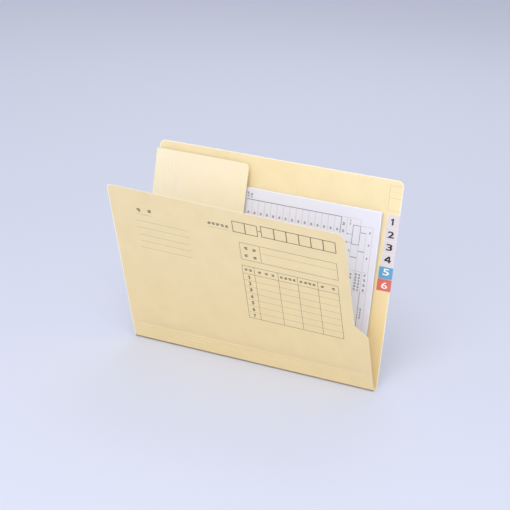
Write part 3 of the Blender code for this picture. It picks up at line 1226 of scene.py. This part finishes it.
def ink_four(flat, x, h, high, wide):
    """A four from six faces round its open counter."""
    corners = [(-0.50, -0.28), (0.11, -0.28), (0.35, -0.28), (0.50, -0.28), (0.50, -0.06)]
    corners += [(0.35, -0.06), (0.11, -0.06), (-0.15, -0.06), (-0.50, -0.06), (0.11, -0.50)]
    corners += [(0.35, -0.50), (0.35, 0.50), (0.04, 0.50), (0.11, 0.20)]
    faces = [(0, 1, 6, 7, 8), (1, 2, 5, 6), (2, 3, 4, 5)]
    faces += [(9, 10, 2, 1), (6, 5, 11, 12, 13), (8, 7, 13, 12)]
    points = [flat.verts.new((x + wide * a, h + high * b, 0)) for a, b in corners]
    for face in faces:
        flat.faces.new([points[index] for index in face])


def fit_span(values, middle, size):
    """Scale and centre values on a middle, so that they span a size."""
    scale = size / (max(values) - min(values))
    centre = (max(values) + min(values)) / 2
    return [middle + (value - centre) * scale for value in values]


def ink_digit(flat, digit, x, h, high, wide, bold):
    """A plain numeral from Blender's own font, centred and scaled to a height and width."""
    if digit == "1":
        ink_one(flat, x, h, high)
        return
    if digit == "4":
        ink_four(flat, x, h, high, wide)
        return
    curve = bpy.data.curves.new("digit", "FONT")
    curve.body = digit
    curve.size = 1.0
    curve.offset = bold
    curve.resolution_u = DIGIT_CURVE_STEPS
    guide = add_object("digit", curve)
    graph = bpy.context.evaluated_depsgraph_get()
    mesh = bpy.data.meshes.new_from_object(guide.evaluated_get(graph))
    bpy.data.objects.remove(guide)
    xs = fit_span([v.co.x for v in mesh.vertices], x, wide)
    hs = fit_span([v.co.y for v in mesh.vertices], h, high)
    corners = [flat.verts.new((*place, 0)) for place in zip(xs, hs)]
    for face in mesh.polygons:
        flat.faces.new([corners[index] for index in face.vertices])
    bpy.data.meshes.remove(mesh)


print("marks and numerals ready")

# %% [markdown]
# ### The cover's form
# On the cover are a small block with five rules, two and six square boxes joined by a dash,
# a wide box with one rule, and a table of seven numbered rows.

# %% Cover lines
BOX_LINE = 0.8
BOX_DIVIDER = 1.05
FIELD_LINE = 0.4
TABLE_LINE = 0.45
FAINT_LINE = 0.38
TABLE_COLUMNS = (186.8, 217.5, 242.5, 268.0)
TABLE_TOP = 143.0
TABLE_FOOT = 75.0
TABLE_ROWS = 7


def lay_on_cover(name, flat, rise, material):
    press_flat(lay_ink(name, flat, cover_point, -HALF_CARD - rise, 0.0, material, "cover"))


flat = bmesh.new()
draw_boxes(flat, BOX_LINE, [(166.3, 202.4, 198.0, 217.3), (203.2, 203.3, 296.0, 218.3)])
draw_lines(flat, BOX_LINE, [(198.8, 210.3, 202.5, 210.3)])
draw_lines(flat, BOX_DIVIDER, [(182.3, 202.8, 182.3, 216.9)])
draw_lines(flat, BOX_DIVIDER, [(x, 203.7, x, 217.9) for x in (219.6, 235.1, 250.7, 265.7, 281.0)])
draw_boxes(flat, FIELD_LINE, [(172.0, 163.8, 295.0, 188.2)])
draw_lines(flat, FIELD_LINE, [(198.0, 164.1, 198.0, 187.9)])
draw_boxes(flat, TABLE_LINE, [(171.2, TABLE_FOOT, 293.7, 154.6)])
draw_lines(flat, FIELD_LINE, [(171.5, TABLE_TOP, 293.4, TABLE_TOP)])
draw_lines(flat, FIELD_LINE, [(x, 75.3, x, 142.7) for x in TABLE_COLUMNS])
draw_lines(flat, FIELD_LINE, [(x, 143.3, x, 154.3) for x in TABLE_COLUMNS])
lay_on_cover("cover_form_lines", flat, INK, form_ink)

# %% Cover faint lines
flat = bmesh.new()
rules = [(34.5, h, 104.5, h) for h in (187.7, 178.1, 167.3, 158.1, 148.3)]
rules += [(35.7, 197.7, 57.2, 197.7), (133.3, 202.2, 159.5, 202.2), (198.3, 178.3, 294.7, 178.3)]
pitch = (TABLE_TOP - TABLE_FOOT) / TABLE_ROWS
heights = [TABLE_TOP - pitch * row for row in range(1, TABLE_ROWS)]
rules += [(171.5, h, 293.4, h) for h in heights]
draw_lines(flat, FAINT_LINE, rules)
lay_on_cover("cover_faint_lines", flat, FAINT_RISE, faint_ink)

# %% Cover marks
ROW_HEIGHTS = (137.8, 128.9, 119.3, 108.8, 99.4, 89.3, 79.4)
ROW_NUMERAL_X = 178.8
ROW_NUMERAL_HIGH = 5.2 * MM
ROW_NUMERAL_WIDE = 3.4 * MM
ROW_NUMERAL_BOLD = 0.03
HEADER_MARKS = [
    (176.0, 3.8), (181.6, 3.8), (193.4, 3.6), (202.2, 3.8), (210.8, 3.6),
    (221.8, 3.4), (227.2, 3.8), (232.8, 3.8), (238.2, 3.6), (246.8, 3.6),
    (252.3, 3.8), (257.8, 3.8), (263.3, 3.6), (273.5, 3.8), (287.5, 3.6),
]
BOX_MARKS = [(135.2, 4.2), (140.9, 4.0), (146.6, 4.4), (152.6, 4.2), (158.6, 3.8)]
FIELD_MARKS = [(179.8, 181.1), (190.6, 180.3), (179.1, 170.2), (190.0, 169.4)]

flat = bmesh.new()
draw_marks(flat, [(39.5, 203.3, 4.8, 4.2), (54.2, 204.5, 4.8, 4.2)])
draw_marks(flat, [(x, 207.4, wide, 3.2) for x, wide in BOX_MARKS])
draw_marks(flat, [(x, h, 4.4, 3.6) for x, h in FIELD_MARKS])
draw_marks(flat, [(x, 148.9, wide, 3.0) for x, wide in HEADER_MARKS])
size = (ROW_NUMERAL_HIGH, ROW_NUMERAL_WIDE, ROW_NUMERAL_BOLD)
for row, h in enumerate(ROW_HEIGHTS):
    ink_digit(flat, str(row + 1), from_left(ROW_NUMERAL_X), h * MM, *size)
lay_on_cover("cover_marks", flat, MARK_RISE, form_ink)

# %% [markdown]
# ### The front form's print
# Only the upper right part of the front sheet shows between the flap and the labels: a
# ruled band of narrow cells, a small flow of boxes and ticks beside it, and columns of
# short marks below.

# %% Form sheet lines
CELL_LEFT = 129.9
CELL_PITCH = 8.41
CELL_COUNT = 15
HEAVY_LINE = 0.75
MEDIUM_LINE = 0.6


def lay_on_front_form(name, flat, rise, material):
    lay_ink(name, flat, sheet_point(2), PAPER / 2 + rise, 0.0, material, "sheet_3")


flat = bmesh.new()
heavy = [
    (129.9, 196.5, 256.1, 196.5), (255.9, 196.1, 255.6, 177.1), (282.5, 181.7, 288.7, 181.7),
    (281.3, 159.4, 288.7, 159.4), (271.8, 151.2, 280.5, 151.2),
]
draw_lines(flat, HEAVY_LINE, heavy)
draw_boxes(flat, MEDIUM_LINE, [(271.7, 166.5, 281.1, 189.2)])
draw_lines(flat, MEDIUM_LINE, [(289.6, 110.6, 289.8, 69.1)])
draw_lines(flat, FIELD_LINE, [(266.8, h, 271.3, h) for h in (177.8, 168.0)])
lay_on_front_form("sheet_lines", flat, INK, sheet_ink)

# %% Form sheet marks
LOOSE_MARKS = [
    (131.3, 203.8, 3.2, 2.4), (135.8, 202.8, 3.0, 2.4), (131.9, 200.0, 2.4, 1.4), (136.2, 199.4, 2.4, 1.4),
    (259.2, 188.6, 3.0, 3.4), (259.4, 180.0, 3.0, 3.2), (267.5, 193.8, 1.5, 2.2), (267.7, 190.2, 1.5, 2.2),
    (265.4, 177.8, 1.8, 1.6), (265.4, 168.0, 2.0, 2.0), (269.5, 158.0, 2.0, 2.2), (293.5, 182.9, 2.4, 2.4),
    (293.6, 168.3, 2.0, 2.2), (293.2, 152.4, 2.0, 2.2),
]

flat = bmesh.new()
middles = [CELL_LEFT + CELL_PITCH * (index + 0.5) for index in range(CELL_COUNT)]
draw_marks(flat, [(x, 180.8, 2.6, 2.8) for x in middles])
draw_marks(flat, LOOSE_MARKS)
draw_marks(flat, [(275.4, 130.7 - 4.0 * row, 2.6, 2.2) for row in range(2)])
draw_marks(flat, [(282.2, 131.6 - 3.6 * row, 2.6, 2.3) for row in range(6)])
draw_marks(flat, [(286.5, 131.6 - 3.6 * row, 2.2, 2.3) for row in range(6)])
draw_marks(flat, [(293.4, 132.1 - 6.0 * row, 2.6, 2.6) for row in range(4)])
draw_marks(flat, [(293.1, 91.0 - 3.3 * row, 2.0, 2.2) for row in range(4)])
lay_on_front_form("sheet_marks", flat, MARK_RISE, sheet_ink)

# %% Form sheet rules
flat = bmesh.new()
cells = [CELL_LEFT + CELL_PITCH * index for index in range(CELL_COUNT)]
draw_lines(flat, FAINT_LINE, [(x, 177.4, x, 196.0) for x in cells])
rules = [
    (256.3, 196.8, 280.6, 197.2), (280.7, 196.8, 281.1, 189.7), (263.5, 177.2, 263.5, 196.5),
    (281.6, 189.5, 297.1, 190.0), (296.9, 189.6, 296.9, 135.9), (289.0, 181.2, 289.0, 135.7),
    (280.8, 166.0, 280.8, 151.7), (280.7, 150.6, 280.7, 135.7), (271.7, 166.0, 271.7, 151.7),
    (273.3, 135.5, 297.3, 135.5), (279.7, 111.1, 297.7, 111.1), (280.5, 135.1, 279.9, 111.4),
    (289.2, 135.1, 289.5, 111.4), (297.3, 135.1, 297.7, 111.4), (280.0, 110.7, 280.5, 66.9),
    (297.7, 110.7, 297.9, 63.3),
]
draw_lines(flat, FAINT_LINE, rules)
lay_on_front_form("sheet_rules", flat, FAINT_RISE, pale_sheet_ink)

# %% [markdown]
# ### Index strip and numerals
# Faint guide lines on the strip show where labels go. The numerals are plain digits, dark
# on the white labels and white on the coloured ones, and each is printed again on the
# label's back.

# %% Index guides
GUIDE_TOP = 243.4
GUIDE_ROWS = [(242.0, 0.4), (234.7, 0.2), (231.2, 0.2), (227.7, 0.45), (212.8, 0.4)]

flat = bmesh.new()
draw_lines(flat, 0.2, [(305.0, 214.0, 305.1, GUIDE_TOP)])
draw_lines(flat, 0.5, [(308.8, 212.6, 309.0, GUIDE_TOP)])
for h, width in GUIDE_ROWS:
    draw_lines(flat, width, [(309.3, h, 323.9, h)])
top = HALF_CARD + FAINT_RISE
lay_ink("index_guides", flat, back_point, top, 0.0, guide_ink, "back")

# %% Label numerals
NUMERALS = "123456"
NUMERAL_HEIGHTS = (200.1, 184.8, 169.7, 155.1, 140.1, 124.1)
NUMERAL_WIDTHS = (3.0, 8.2, 8.0, 8.3, 7.8, 7.8)
NUMERAL_BOLDS = (0.0, 0.024, 0.024, 0.0, 0.015, 0.012)
NUMERAL_HIGH = 7.9 * MM
NUMERAL_INSET = 7.9 * MM


def label_numerals(name, indices, material):
    flat = bmesh.new()
    reach = NUMERAL_INSET + HALF_WRAP
    for index in indices:
        size = (NUMERAL_HIGH, NUMERAL_WIDTHS[index] * MM, NUMERAL_BOLDS[index])
        for x in (-reach, reach):
            ink_digit(flat, NUMERALS[index], x, NUMERAL_HEIGHTS[index] * MM, *size)
    lay_ink(name, flat, label_point, LABEL_FILM + INK, LABEL_FILM / 2, material, "back")


label_numerals("numerals_dark", range(4), numeral_black)
label_numerals("numerals_blue_label", [4], numeral_white)
label_numerals("numerals_red_label", [5], numeral_white)

# %% [markdown]
# ## Size
# The dressed folder's visual box, over every shown piece, is measured and printed.

# %% Size and finish
low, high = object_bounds()
print("visual box:", [round(v, 4) for v in (*low, *high)])
